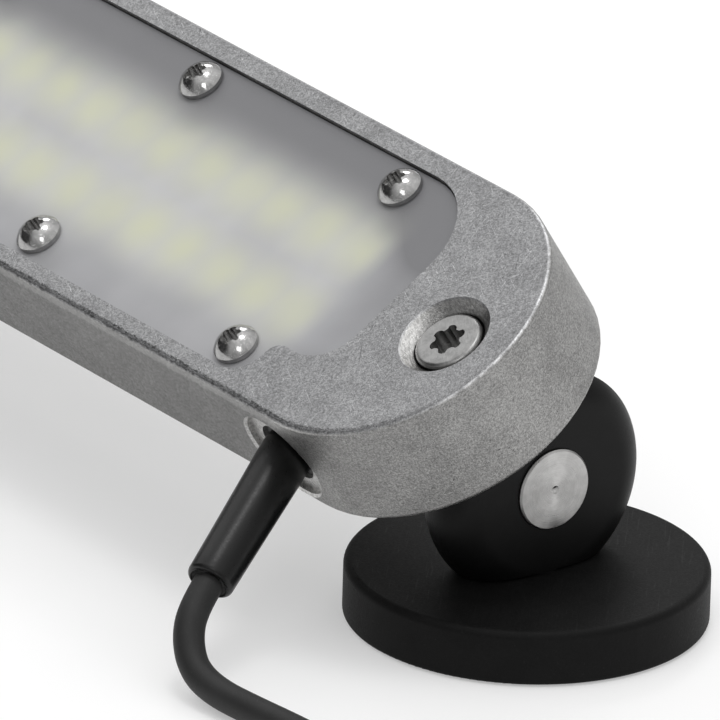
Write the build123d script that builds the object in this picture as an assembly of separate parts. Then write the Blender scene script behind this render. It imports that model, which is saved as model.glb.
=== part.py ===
from build123d import *
import os
from math import cos, pi, radians, sin, sqrt, tan

# Magnetic strip work light: an aluminium bar with a frosted diffuser, carried by two
# tilting knuckles that each stand on a rubber-coated magnet.
#
# Row frame: origin at the centre of foot A's magnet face, on the surface it clings to.
# +Z is up, +X runs along the bar towards foot A's end. Foot B is at x = -FOOT_SPACING.
# "Bar frame" below means the bar lying level with the hinge axis at z = 0; the bar is
# then turned by REST_TILT about the hinge axis and lifted to HINGE_HEIGHT.

# ---------------------------------------------------------------- driving dimensions
FOOT_SPACING = 250.0
HINGE_HEIGHT = 17.25
REST_TILT = 32.4
TILT_LIMIT = 50.0            # each way from level

# Bar (housing)
BAR_WIDTH = 39.8
BAR_THICKNESS = 15.0
BAR_END_BEYOND_FOOT = 10.0
FACE_Z = 24.7                # lit face above the hinge axis, bar frame
FACE_EDGE_RADIUS = 0.5
UNDER_EDGE_RADIUS = 0.7

# Diffuser pocket and the cavity under it (depths are from the lit face)
POCKET_HALF_WIDTH = 17.1
POCKET_END_X = -10.8
POCKET_CORNER = 10.5
DIFFUSER_DEPTH = 0.65
DIFFUSER_THICKNESS = 3.0
GASKET_THICKNESS = 0.5
CAVITY_HALF_WIDTH = 10.8
CAVITY_END_X = -13.0
CAVITY_DEPTH = 9.0
BAY_DEPTH = 13.0             # deeper bay for the driver at foot A's end
BAY_LENGTH = 11.0
GLAND_ISLAND_X = -20.0       # metal left standing round the cable entry
GLAND_ISLAND_Y = -11.0
GLAND_ISLAND_INNER_Y = -7.5

# Diffuser screws, M3 pan head, six-lobe
SCREW_PAIRS = 6
SCREW_FIRST_X = -25.0
SCREW_Y = 13.7
PAN_HEAD_DIAMETER = 5.6
PAN_HEAD_HEIGHT = 2.2
PAN_SHANK_DIAMETER = 3.0
PAN_SHANK_LENGTH = 8.0

# LEDs
LED_ROW_Y = 5.3
LED_PITCH = 7.5
LED_FIRST_X = -27.5
LED_COUNT_PER_ROW = 27
LED_LENGTH = 3.5
LED_WIDTH = 2.8
LED_HEIGHT = 0.8
BOARD_HALF_WIDTH = 10.2
BOARD_THICKNESS = 1.6
BOARD_END_GAP = 0.6          # from the driver bay to the LED board
THERMAL_PAD_THICKNESS = 0.5

# Driver in its bay: board, wire terminal and wires
DRIVER_SHEET = 0.3
DRIVER_THICKNESS = 1.0
TERMINAL_X = -17.1
TERMINAL_Y = 2.0
TERMINAL_SIZE = (4.6, 4.0, 5.0)
WIRE_PITCH_AT_TERMINAL = 2.3
WIRE_PITCH_AT_GLAND = 1.5
WIRE_DIAMETER = 1.3
WIRE_BEND = 1.2
LEAD_DIAMETER = 0.7
LEAD_BEND = 0.4
LEAD_Y = 1.6

# Cable entry
GLAND_X = -14.0
GLAND_DEPTH = 8.3
SPOT_DIAMETER = 12.1
SPOT_DEPTH = 0.9
SPOT_CHAMFER = 0.3
GLAND_DIAMETER = 8.2
GLAND_BORE = 6.6
GLAND_INNER_Y = -11.8
GLAND_RECESS = 0.6
SEAL_LENGTH = 1.2
SEAL_BORE = 4.2
WIRE_HOLE_DIAMETER = 5.4
BOOT_ROOT_DIAMETER = 6.4
BOOT_END_DIAMETER = 5.8
BOOT_END_CHAMFER = 0.5
BOOT_CORE_DIAMETER = 4.1
BOOT_LENGTH = 20.4
BOOT_SWING = 20.5            # degrees, from square to the bar towards +X

# Foot: clamp screw through the bar, M5 six-lobe cheese head
CLAMP_HEAD_DIAMETER = 8.5
CLAMP_HEAD_HEIGHT = 3.3
CLAMP_HEAD_DEPTH = 0.9
CLAMP_HEAD_EDGE = 0.6
CLAMP_RECESS_DIAMETER = 4.5
CLAMP_RECESS_DEPTH = 2.0
CLAMP_SHANK_DIAMETER = 4.9
LOCK_WASHER_THICKNESS = 0.8
LOCK_WASHER_SPLIT = 0.5
COUNTERSINK_DIAMETER = 11.7
COUNTERSINK_DEPTH = 1.5
COUNTERBORE_DIAMETER = 9.0

# Foot: knuckle, a thick disc with a full round edge, split at x = 0
KNUCKLE_RADIUS = 14.25
KNUCKLE_HALF_WIDTH = 4.4
KNUCKLE_EDGE_RADIUS = 4.2
TONGUE_THICKNESS = 3.6
TONGUE_DISC_RADIUS = 6.0
TONGUE_NECK_WIDTH = 8.0
TONGUE_SLOT_HALF = 2.1
TONGUE_HEAD_HEIGHT = 3.3
TONGUE_HEAD_SIZE = (8.8, 12.0)
KNUCKLE_CLEARANCE = 0.45
PIVOT_DIAMETER = 5.0
CAP_DIAMETER = 9.9
CAP_FACE_X = 4.85
CAP_THICKNESS = 1.5
CAP_BEVEL = 0.2
CAP_DIMPLE_RADIUS = 1.4
CAP_DIMPLE_RISE = 1.3        # centre of the dimple's ball beyond the cap's face
SPIGOT_DIAMETER = 3.0
SPIGOT_LENGTH = 0.9
FRICTION_WASHER_THICKNESS = 0.25

# Foot: rubber-coated magnet
MAGNET_DIAMETER = 43.0
MAGNET_HEIGHT = 6.6
MAGNET_TOP_EDGE = 0.9
MAGNET_BOTTOM_EDGE = 0.5
MAGNET_DISCS = 8
MAGNET_DISC_DIAMETER = 9.0
MAGNET_DISC_CIRCLE = 13.2
SWIVEL_WASHER_DIAMETER = 8.4
SWIVEL_WASHER_THICKNESS = 0.3
MAGNET_SCREW_DIAMETER = 4.0
MAGNET_SCREW_END_Z = 1.6
SCREW_HEAD_DIAMETER = 7.0
SCREW_HEAD_HEIGHT = 1.9
SCREW_TRAP_DIAMETER = 7.3
SCREW_TRAP_HEIGHT = 2.1
SCREW_TRAP_Z = -8.5          # below the hinge axis
PLATE_RADIUS = 19.6
PLATE_Z = 3.3
PLATE_THICKNESS = 1.5
DISC_Z = 0.8
BUSH_DIAMETER = 8.0
BUSH_FLANGE_DIAMETER = 11.0
BUSH_FLANGE_THICKNESS = 1.2

# Cord
CABLE_DIAMETER = 3.7
COIL_CENTRE = (66.0, -71.8)
COIL_MEAN_RADIUS = 20.0
COIL_COLUMNS = 4
COIL_LAYERS = 4
TIE_WIDTH = 6.0
TIE_THICKNESS = 0.7
PLUG_DIAMETER = 9.5
PLUG_LENGTH = 20.0
PLUG_RELIEF_LENGTH = 13.0
PLUG_NOSE_STEP = 1.2
PLUG_BARREL_DIAMETER = 5.5
PLUG_BARREL_LENGTH = 9.5
PLUG_PIN_HOLE_DIAMETER = 2.1

# Fits
FIT = 0.05                   # radial clearance of pins and shafts
SEAT = 0.03                  # clearance between pieces that are seated in each other

# ---------------------------------------------------------------- worked-out values
UNDER_Z = FACE_Z - BAR_THICKNESS
BAR_LENGTH = FOOT_SPACING + 2 * BAR_END_BEYOND_FOOT
MID_X = -FOOT_SPACING / 2
FAR_POCKET_END_X = -FOOT_SPACING - POCKET_END_X
FAR_CAVITY_END_X = -FOOT_SPACING - CAVITY_END_X
LEDGE_Z = FACE_Z - DIFFUSER_DEPTH - DIFFUSER_THICKNESS - GASKET_THICKNESS
DIFFUSER_Z = LEDGE_Z + GASKET_THICKNESS
CAVITY_Z = FACE_Z - CAVITY_DEPTH
BAY_Z = FACE_Z - BAY_DEPTH
BAY_INNER_X = CAVITY_END_X - BAY_LENGTH
BOARD_Z = CAVITY_Z + THERMAL_PAD_THICKNESS
LED_Z = BOARD_Z + BOARD_THICKNESS
GLAND_Z = FACE_Z - GLAND_DEPTH
CLAMP_SEAT_Z = FACE_Z - CLAMP_HEAD_DEPTH - CLAMP_HEAD_HEIGHT - LOCK_WASHER_THICKNESS
BOARD_NEAR_X = BAY_INNER_X - BOARD_END_GAP
BOARD_FAR_X = -FOOT_SPACING - BOARD_NEAR_X
DRIVER_X = (BAY_INNER_X + 0.5, CAVITY_END_X - 1.2)
DRIVER_Y = (GLAND_ISLAND_INNER_Y + 0.6, CAVITY_HALF_WIDTH - 1.4)
DRIVER_TOP_Z = BAY_Z + DRIVER_SHEET + DRIVER_THICKNESS
KNUCKLE_SLOT_Z = KNUCKLE_RADIUS + KNUCKLE_CLEARANCE
KNUCKLE_BOTTOM_Z = MAGNET_HEIGHT + SWIVEL_WASHER_THICKNESS - HINGE_HEIGHT
CABLE_FLOOR_Z = CABLE_DIAMETER / 2 + 0.05

os.makedirs("parts", exist_ok=True)
nodes = {}


def tilted(shape):
    """Carry a shape from the bar frame to the row frame."""
    return Pos(0, 0, HINGE_HEIGHT) * Rot(REST_TILT, 0, 0) * shape


def tilted_point(x, y, z):
    """Carry a point from the bar frame to the row frame."""
    angle = radians(REST_TILT)
    return Vector(
        x,
        y * cos(angle) - z * sin(angle),
        HINGE_HEIGHT + y * sin(angle) + z * cos(angle),
    )


def cylinder(diameter, low, high, x=0.0, y=0.0):
    """An upright cylinder between two heights."""
    return Pos(x, y, low) * Cylinder(
        diameter / 2, high - low, align=(Align.CENTER, Align.CENTER, Align.MIN)
    )


def cylinder_x(diameter, low, high, y=0.0, z=0.0):
    """A cylinder lying along X between two stations."""
    return Pos(0, y, z) * Rot(0, 90, 0) * cylinder(diameter, low, high)


def cylinder_y(diameter, low, high, x=0.0, z=0.0):
    """A cylinder lying along Y between two stations."""
    return Pos(x, 0, z) * Rot(-90, 0, 0) * cylinder(diameter, low, high)


def block(low, high):
    """A box between two corners."""
    size = [b - a for a, b in zip(low, high)]
    return Pos(*low) * Box(*size, align=(Align.MIN, Align.MIN, Align.MIN))


def rounded_prism(points, radii, low, high):
    """A prism over a closed outline whose corners have the given radii."""
    outline = FilletPolyline(*points, radius=radii, close=True)
    return Pos(0, 0, low) * extrude(make_face(outline), high - low)


def six_lobe_recess(outer_diameter, depth, top):
    """The driving recess of a six-lobe screw, cut down from a height."""
    outer = outer_diameter / 2
    lobe = outer * 0.30
    core = outer * 0.80
    reach = outer - lobe
    flute = outer * 1.02
    low = top - depth
    star = cylinder(2 * core, low, top + 1)
    for i in range(6):
        angle = radians(60 * i)
        between = angle + radians(30)
        star += cylinder(2 * lobe, low, top + 1, reach * cos(angle), reach * sin(angle))
        star -= cylinder(2 * lobe, low - 1, top + 2, flute * cos(between), flute * sin(between))
    return star


def wire(points, diameter, bend):
    """A round wire through points, with every corner bent to one radius."""
    path = FilletPolyline(*points, radius=bend)
    section = Plane(path @ 0, z_dir=path % 0) * Circle(diameter / 2)
    return sweep(section, path=path)


# ---------------------------------------------------------------- bar and its contents
def pocket_prism(inset, low, high):
    """The diffuser's outline, with the island round the cable entry cut out of it."""
    near = POCKET_END_X - inset
    far = FAR_POCKET_END_X + inset
    side = POCKET_HALF_WIDTH - inset
    island_x = GLAND_ISLAND_X - inset
    island_y = GLAND_ISLAND_Y + inset
    corner = POCKET_CORNER - inset
    points = [
        (near, side),
        (near, island_y),
        (island_x, island_y),
        (island_x, -side),
        (far, -side),
        (far, side),
    ]
    radii = [corner, 5.5 - inset, 1.8 + inset, 4.0 - inset, corner, corner]
    return rounded_prism(points, radii, low, high)


def cavity_prism(grow, low, high):
    """The light cavity's outline, narrower beside the cable entry."""
    near = CAVITY_END_X + grow
    far = FAR_CAVITY_END_X - grow
    side = CAVITY_HALF_WIDTH + grow
    points = [
        (near, side),
        (near, GLAND_ISLAND_INNER_Y - grow),
        (GLAND_ISLAND_X - 3.0 + grow, GLAND_ISLAND_INNER_Y - grow),
        (GLAND_ISLAND_X - 3.0 + grow, -side),
        (far, -side),
        (far, side),
    ]
    radii = [3.0, 2.0, 1.2, 1.4, 3.0, 3.0]
    return rounded_prism(points, radii, low, high)


def screw_places():
    """Centres of the diffuser screws in the bar frame."""
    pitch = (FOOT_SPACING + 2 * SCREW_FIRST_X) / (SCREW_PAIRS - 1)
    stations = [SCREW_FIRST_X - i * pitch for i in range(SCREW_PAIRS)]
    return [(x, side * SCREW_Y) for x in stations for side in (-1, 1)]


def make_housing():
    body = Pos(MID_X, 0, UNDER_Z) * extrude(SlotOverall(BAR_LENGTH, BAR_WIDTH), BAR_THICKNESS)
    body = fillet(body.faces().sort_by(Axis.Z)[-1].edges(), FACE_EDGE_RADIUS)
    body = fillet(body.faces().sort_by(Axis.Z)[0].edges(), UNDER_EDGE_RADIUS)
    body -= pocket_prism(0.0, LEDGE_Z, FACE_Z + 1)
    body -= cavity_prism(0.0, CAVITY_Z, FACE_Z + 1)
    bay = block(
        (BAY_INNER_X, GLAND_ISLAND_INNER_Y, BAY_Z),
        (CAVITY_END_X - 0.6, CAVITY_HALF_WIDTH - 0.6, FACE_Z),
    )
    body -= fillet(bay.edges().filter_by(Axis.Z), 1.5)
    for x, y in screw_places():
        body -= cylinder(PAN_SHANK_DIAMETER + 2 * SEAT, LEDGE_Z - 5.5, FACE_Z, x, y)
    # cable entry: spot-face, threaded hole, then a smaller hole for the wires
    side_y = -BAR_WIDTH / 2
    body -= cylinder_y(SPOT_DIAMETER, side_y - 1, side_y + SPOT_DEPTH, GLAND_X, GLAND_Z)
    spot_radius = SPOT_DIAMETER / 2
    rim = Cone(spot_radius, spot_radius + 2 * SPOT_CHAMFER, 2 * SPOT_CHAMFER)
    body -= Pos(GLAND_X, side_y, GLAND_Z) * Rot(90, 0, 0) * rim
    body -= cylinder_y(GLAND_DIAMETER + 2 * SEAT, side_y - 1, GLAND_INNER_Y, GLAND_X, GLAND_Z)
    body -= cylinder_y(WIRE_HOLE_DIAMETER, side_y, GLAND_ISLAND_INNER_Y + 1, GLAND_X, GLAND_Z)
    for x in (0.0, -FOOT_SPACING):
        body -= foot_cuts(x)
    return body


def foot_cuts(x):
    """What the bar loses at a foot: counterbore, screw hole, knuckle slot, tongue seat."""
    half_length = sqrt(KNUCKLE_RADIUS**2 - UNDER_Z**2) + 0.6
    half_width = KNUCKLE_HALF_WIDTH + KNUCKLE_CLEARANCE
    slot = block((-half_width, -half_length, UNDER_Z - 1), (half_width, half_length, KNUCKLE_SLOT_Z))
    slot = fillet(slot.edges().filter_by(Axis.Z), 2.0)
    head_x, head_y = TONGUE_HEAD_SIZE
    head_top = KNUCKLE_SLOT_Z + TONGUE_HEAD_HEIGHT + SEAT
    seat = block(
        (-head_x / 2 - SEAT, -head_y / 2 - SEAT, UNDER_Z),
        (head_x / 2 + SEAT, head_y / 2 + SEAT, head_top),
    )
    bore = cylinder(COUNTERBORE_DIAMETER, CLAMP_SEAT_Z, FACE_Z)
    bore += Pos(0, 0, FACE_Z - COUNTERSINK_DEPTH) * Cone(
        COUNTERBORE_DIAMETER / 2,
        COUNTERSINK_DIAMETER / 2,
        COUNTERSINK_DEPTH,
        align=(Align.CENTER, Align.CENTER, Align.MIN),
    )
    hole = cylinder(CLAMP_SHANK_DIAMETER + 0.5, UNDER_Z, FACE_Z)
    return Pos(x, 0, 0) * (slot + seat + bore + hole)


def make_diffuser():
    body = pocket_prism(0.15, DIFFUSER_Z, DIFFUSER_Z + DIFFUSER_THICKNESS)
    for x, y in screw_places():
        body -= cylinder(PAN_SHANK_DIAMETER + 0.4, DIFFUSER_Z - 1, FACE_Z, x, y)
    return body


def make_gasket():
    body = pocket_prism(0.3, LEDGE_Z, DIFFUSER_Z)
    body -= cavity_prism(0.3, LEDGE_Z - 1, DIFFUSER_Z + 1)
    for x, y in screw_places():
        body -= cylinder(PAN_SHANK_DIAMETER + 0.4, LEDGE_Z - 1, FACE_Z, x, y)
    return body


def pan_screw(x, y):
    seat = DIFFUSER_Z + DIFFUSER_THICKNESS
    top = seat + PAN_HEAD_HEIGHT
    radius = PAN_HEAD_DIAMETER / 2
    rim = seat + 0.7
    profile = Polyline((0, seat), (radius - 0.15, seat), (radius, seat + 0.15), (radius, rim))
    dome = ThreePointArc((radius, rim), (radius * 0.62, top - 0.42), (0, top))
    head = revolve(make_face(Plane.XZ * (profile + dome + Line((0, top), (0, seat)))), Axis.Z)
    head -= six_lobe_recess(2.75, 1.2, top)
    shank = cylinder(PAN_SHANK_DIAMETER, seat - PAN_SHANK_LENGTH, seat + 0.1)
    return Pos(x, y, 0) * (head + shank)


def make_led_chips():
    chips = []
    for row in (-1, 1):
        for i in range(LED_COUNT_PER_ROW):
            x = LED_FIRST_X - i * LED_PITCH
            y = row * LED_ROW_Y
            chips.append(
                block(
                    (x - LED_LENGTH / 2, y - LED_WIDTH / 2, LED_Z),
                    (x + LED_LENGTH / 2, y + LED_WIDTH / 2, LED_Z + LED_HEIGHT),
                )
            )
    return Compound(children=chips)


def make_driver_components():
    """Inductor, controller, two capacitors, diode and the two-way wire terminal."""
    base = DRIVER_TOP_Z
    x0 = DRIVER_X[0]
    inductor = block((x0 + 0.3, -6.6, base), (x0 + 3.7, -2.6, base + 3.2))
    inductor = fillet(inductor.edges().filter_by(Axis.Z), 0.9)
    controller = block((x0 + 4.0, -2.2, base), (x0 + 7.9, 1.4, base + 1.5))
    input_capacitor = cylinder(3.4, base, base + 4.6, x0 + 2.0, 4.4)
    output_capacitor = block((x0 + 4.6, 6.7, base), (x0 + 7.8, 8.7, base + 1.6))
    diode = block((x0 + 0.6, 6.9, base), (x0 + 3.4, 8.7, base + 1.1))
    width, depth, height = TERMINAL_SIZE
    terminal = block(
        (TERMINAL_X - width / 2, TERMINAL_Y, base),
        (TERMINAL_X + width / 2, TERMINAL_Y + depth, base + height),
    )
    return Compound(children=[inductor, controller, input_capacitor, output_capacitor, diode, terminal])


def make_supply_wires():
    """Two wires from the boot's root, through the wall, across to the terminal."""
    wires = []
    for side in (-1, 1):
        start_x = GLAND_X + side * WIRE_PITCH_AT_GLAND / 2
        end_x = TERMINAL_X + side * WIRE_PITCH_AT_TERMINAL / 2
        points = [
            (start_x, GLAND_INNER_Y, GLAND_Z),
            (start_x, GLAND_INNER_Y + 2.6, GLAND_Z),
            (end_x, TERMINAL_Y - 4.4, GLAND_Z),
            (end_x, TERMINAL_Y, GLAND_Z),
        ]
        wires.append(wire(points, WIRE_DIAMETER, WIRE_BEND))
    return Compound(children=wires)


def make_led_leads():
    """Two leads from the driver up to the solder pads at the LED board's end."""
    driver_end = DRIVER_X[0] + 0.4
    board_end = BOARD_NEAR_X - 0.9
    over = LED_Z + 1.2
    leads = []
    for y in (-LEAD_Y, LEAD_Y):
        points = [
            (driver_end, y, DRIVER_TOP_Z),
            (driver_end, y, over),
            (board_end, y, over),
            (board_end, y, LED_Z),
        ]
        leads.append(wire(points, LEAD_DIAMETER, LEAD_BEND))
    return Compound(children=leads)


MOUTH = Vector(GLAND_X, -BAR_WIDTH / 2 + SPOT_DEPTH, GLAND_Z)
BOOT_DIRECTION = Vector(sin(radians(BOOT_SWING)), -cos(radians(BOOT_SWING)), 0)


def make_gland():
    """The threaded nylon bush in the bar's side, a little below the spot-face."""
    outer = cylinder_y(GLAND_DIAMETER, MOUTH.Y + GLAND_RECESS, GLAND_INNER_Y - 0.1, GLAND_X, GLAND_Z)
    bore = cylinder_y(GLAND_BORE, -BAR_WIDTH, 0, GLAND_X, GLAND_Z)
    return outer - bore


def make_gland_seal():
    """A ring at the bottom of the gland bore, squeezed round the boot's root."""
    end_y = GLAND_INNER_Y - 0.1
    ring = cylinder_y(GLAND_BORE - 2 * SEAT, end_y - SEAL_LENGTH, end_y, GLAND_X, GLAND_Z)
    return ring - cylinder_y(SEAL_BORE, -BAR_WIDTH, 0, GLAND_X, GLAND_Z)


def make_boot():
    """The moulded strain relief: root in the gland, then a tapered sleeve that leans to +X."""
    start = BOOT_ROOT_DIAMETER / 2
    end = BOOT_END_DIAMETER / 2
    sleeve_plane = Plane(origin=MOUTH, x_dir=(0, 0, 1), z_dir=BOOT_DIRECTION)
    outline = Polyline(
        (0, 0),
        (start, 0),
        (end, BOOT_LENGTH - BOOT_END_CHAMFER),
        (end - BOOT_END_CHAMFER, BOOT_LENGTH),
        (0, BOOT_LENGTH),
        (0, 0),
    )
    sleeve = revolve(make_face(Plane.XZ * outline), Axis.Z)
    sleeve = sleeve_plane * sleeve
    elbow = Pos(*MOUTH) * Sphere(start)
    root = cylinder_y(BOOT_ROOT_DIAMETER, MOUTH.Y, GLAND_INNER_Y - 1.4, GLAND_X, GLAND_Z)
    core = cylinder_y(BOOT_CORE_DIAMETER, GLAND_INNER_Y - 1.5, GLAND_INNER_Y, GLAND_X, GLAND_Z)
    return root + elbow + sleeve + core


nodes["housing"] = tilted(make_housing())
nodes["diffuser"] = tilted(make_diffuser())
nodes["diffuser_gasket"] = tilted(make_gasket())
nodes["diffuser_screws"] = tilted(Compound(children=[pan_screw(x, y) for x, y in screw_places()]))
nodes["thermal_pad"] = tilted(
    block((BOARD_FAR_X, -BOARD_HALF_WIDTH, CAVITY_Z), (BOARD_NEAR_X, BOARD_HALF_WIDTH, BOARD_Z))
)
nodes["led_board"] = tilted(
    block((BOARD_FAR_X, -BOARD_HALF_WIDTH, BOARD_Z), (BOARD_NEAR_X, BOARD_HALF_WIDTH, LED_Z))
)
nodes["led_chips"] = tilted(make_led_chips())
nodes["driver_sheet"] = tilted(
    block((DRIVER_X[0], DRIVER_Y[0], BAY_Z), (DRIVER_X[1], DRIVER_Y[1], BAY_Z + DRIVER_SHEET))
)
nodes["driver_board"] = tilted(
    block((DRIVER_X[0], DRIVER_Y[0], BAY_Z + DRIVER_SHEET), (DRIVER_X[1], DRIVER_Y[1], DRIVER_TOP_Z))
)
nodes["driver_components"] = tilted(make_driver_components())
nodes["supply_wires"] = tilted(make_supply_wires())
nodes["led_leads"] = tilted(make_led_leads())
nodes["cable_gland"] = tilted(make_gland())
nodes["gland_seal"] = tilted(make_gland_seal())
nodes["cable_boot"] = tilted(make_boot())


# ---------------------------------------------------------------- feet
def make_clamp_screw():
    head_low = CLAMP_SEAT_Z + LOCK_WASHER_THICKNESS
    head_high = head_low + CLAMP_HEAD_HEIGHT
    head = cylinder(CLAMP_HEAD_DIAMETER, head_low, head_high)
    head = fillet(head.faces().sort_by(Axis.Z)[-1].edges(), CLAMP_HEAD_EDGE)
    head -= six_lobe_recess(CLAMP_RECESS_DIAMETER, CLAMP_RECESS_DEPTH, head_high)
    shank = cylinder(CLAMP_SHANK_DIAMETER, KNUCKLE_SLOT_Z + 0.05, head_low + 0.1)
    return head + shank


def make_lock_washer():
    ring = cylinder(CLAMP_HEAD_DIAMETER + 0.3, CLAMP_SEAT_Z, CLAMP_SEAT_Z + LOCK_WASHER_THICKNESS)
    ring -= cylinder(CLAMP_SHANK_DIAMETER + 0.3, CLAMP_SEAT_Z - 1, FACE_Z)
    gap = LOCK_WASHER_SPLIT / 2
    split = Rot(0, 0, 35) * block((0, -gap, CLAMP_SEAT_Z - 1), (10, gap, FACE_Z))
    return ring - split


def make_tongue():
    """The steel lug under the bar: head in the bar, neck, and an eye round the pivot."""
    half = TONGUE_THICKNESS / 2
    eye = cylinder_x(2 * TONGUE_DISC_RADIUS, -half, half)
    neck = block((-half, -TONGUE_NECK_WIDTH / 2, 0), (half, TONGUE_NECK_WIDTH / 2, KNUCKLE_SLOT_Z + 0.3))
    head_x, head_y = TONGUE_HEAD_SIZE
    head = block(
        (-head_x / 2, -head_y / 2, KNUCKLE_SLOT_Z),
        (head_x / 2, head_y / 2, KNUCKLE_SLOT_Z + TONGUE_HEAD_HEIGHT),
    )
    body = eye + neck + fillet(head.edges().filter_by(Axis.Z), 0.8)
    body -= cylinder_x(PIVOT_DIAMETER + 2 * FIT, -10, 10)
    body -= cylinder(CLAMP_SHANK_DIAMETER + 2 * SEAT, KNUCKLE_SLOT_Z - 0.4, FACE_Z)
    return body


def make_knuckle_shell(side):
    """One half of the knuckle; side is +1 for the +X half and -1 for the -X half."""
    disc = cylinder_x(2 * KNUCKLE_RADIUS, -KNUCKLE_HALF_WIDTH, KNUCKLE_HALF_WIDTH)
    rims = disc.edges().filter_by(GeomType.CIRCLE)
    disc = fillet(rims, KNUCKLE_EDGE_RADIUS)
    reach = KNUCKLE_RADIUS + 5
    disc &= block((-10, -reach, KNUCKLE_BOTTOM_Z), (10, reach, reach))
    split = sorted((0, 10 * side))
    shell = disc & block((split[0], -reach, -reach), (split[1], reach, reach))
    # room for the tongue: its eye, and its neck from one tilt limit to the other
    slot = cylinder_x(2 * TONGUE_DISC_RADIUS + 0.8, -TONGUE_SLOT_HALF, TONGUE_SLOT_HALF)
    limit = radians(TILT_LIMIT + 0.5)
    apex = -(TONGUE_NECK_WIDTH / 2 + 0.35) / sin(limit)
    far = 40.0
    wide = far * sin(limit)
    high = apex + far * cos(limit)
    wedge = Polyline((0, apex), (wide, high), (-wide, high), (0, apex))
    slot += extrude(Plane.YZ * make_face(wedge), TONGUE_SLOT_HALF, both=True)
    shell -= slot
    # bore of the pivot, seat of the cap, and the trap for the magnet screw's head
    shell -= cylinder_x(PIVOT_DIAMETER + 2 * SEAT, -10, 10)
    cap_low = CAP_FACE_X - CAP_THICKNESS - SEAT
    shell -= cylinder_x(CAP_DIAMETER + 2 * SEAT, cap_low, 10)
    shell -= cylinder_x(CAP_DIAMETER + 2 * SEAT, -10, -cap_low)
    shell -= cylinder(SCREW_TRAP_DIAMETER, SCREW_TRAP_Z, SCREW_TRAP_Z + SCREW_TRAP_HEIGHT)
    shell -= cylinder(MAGNET_SCREW_DIAMETER + 2 * FIT, -20, SCREW_TRAP_Z + 1)
    return shell


def make_pivot_pin():
    inner = CAP_FACE_X - CAP_THICKNESS
    shaft = cylinder_x(PIVOT_DIAMETER, -inner, inner)
    spigot = cylinder_x(SPIGOT_DIAMETER, -inner - SPIGOT_LENGTH, inner + SPIGOT_LENGTH)
    return shaft + spigot


def make_pivot_cap(side):
    """The turned aluminium cap on an end of the pivot, with a shallow centre dimple."""
    inner = CAP_FACE_X - CAP_THICKNESS
    cap = cylinder_x(CAP_DIAMETER, inner, CAP_FACE_X)
    cap = chamfer(cap.faces().sort_by(Axis.X)[-1].edges(), CAP_BEVEL)
    cap -= cylinder_x(SPIGOT_DIAMETER + 2 * SEAT, inner - 1, inner + SPIGOT_LENGTH + 0.05)
    cap -= Pos(CAP_FACE_X + CAP_DIMPLE_RISE, 0, 0) * Sphere(CAP_DIMPLE_RADIUS)
    return cap if side > 0 else mirror(cap, Plane.YZ)


def make_friction_washers():
    washers = []
    low = TONGUE_THICKNESS / 2 + SEAT / 2
    for x in (low, -low - FRICTION_WASHER_THICKNESS):
        ring = cylinder_x(2 * TONGUE_DISC_RADIUS - 1, x, x + FRICTION_WASHER_THICKNESS)
        washers.append(ring - cylinder_x(PIVOT_DIAMETER + 2 * SEAT, -10, 10))
    return Compound(children=washers)


def disc_places():
    angles = [2 * pi * i / MAGNET_DISCS for i in range(MAGNET_DISCS)]
    return [(MAGNET_DISC_CIRCLE * cos(angle), MAGNET_DISC_CIRCLE * sin(angle)) for angle in angles]


def make_magnet_screw():
    head_low = HINGE_HEIGHT + SCREW_TRAP_Z + 0.05
    head = cylinder(SCREW_HEAD_DIAMETER, head_low, head_low + SCREW_HEAD_HEIGHT)
    head -= six_lobe_recess(3.3, 1.0, head_low + SCREW_HEAD_HEIGHT)
    return head + cylinder(MAGNET_SCREW_DIAMETER, MAGNET_SCREW_END_Z, head_low + 0.1)


def make_swivel_washer():
    high = MAGNET_HEIGHT + SWIVEL_WASHER_THICKNESS - SEAT
    washer = cylinder(SWIVEL_WASHER_DIAMETER, MAGNET_HEIGHT, high)
    return washer - cylinder(MAGNET_SCREW_DIAMETER + 0.4, 0, 20)


def make_magnet_plate():
    plate = cylinder(2 * PLATE_RADIUS, PLATE_Z, PLATE_Z + PLATE_THICKNESS)
    return plate - cylinder(BUSH_DIAMETER + 2 * SEAT, 0, 20)


def make_magnet_discs():
    top = PLATE_Z - SEAT
    return Compound(children=[cylinder(MAGNET_DISC_DIAMETER, DISC_Z, top, x, y) for x, y in disc_places()])


def make_magnet_bush():
    flange_high = PLATE_Z - SEAT
    body = cylinder(BUSH_DIAMETER, DISC_Z, MAGNET_HEIGHT - 0.1)
    body += cylinder(BUSH_FLANGE_DIAMETER, flange_high - BUSH_FLANGE_THICKNESS, flange_high)
    return body - cylinder(MAGNET_SCREW_DIAMETER + 2 * SEAT, MAGNET_SCREW_END_Z - 0.4, 20)


def make_magnet_rubber():
    """The rubber coat: solid but for what is moulded into it."""
    body = cylinder(MAGNET_DIAMETER, 0, MAGNET_HEIGHT)
    body = fillet(body.faces().sort_by(Axis.Z)[-1].edges(), MAGNET_TOP_EDGE)
    body = fillet(body.faces().sort_by(Axis.Z)[0].edges(), MAGNET_BOTTOM_EDGE)
    body -= cylinder(2 * PLATE_RADIUS + 2 * SEAT, PLATE_Z - SEAT, PLATE_Z + PLATE_THICKNESS + SEAT)
    for x, y in disc_places():
        body -= cylinder(MAGNET_DISC_DIAMETER + 2 * SEAT, DISC_Z - SEAT, PLATE_Z, x, y)
    body -= cylinder(BUSH_DIAMETER + 2 * SEAT, DISC_Z - SEAT, 20)
    flange_low = PLATE_Z - BUSH_FLANGE_THICKNESS - 0.1 - SEAT
    body -= cylinder(BUSH_FLANGE_DIAMETER + 2 * SEAT, flange_low, PLATE_Z)
    return body


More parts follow.
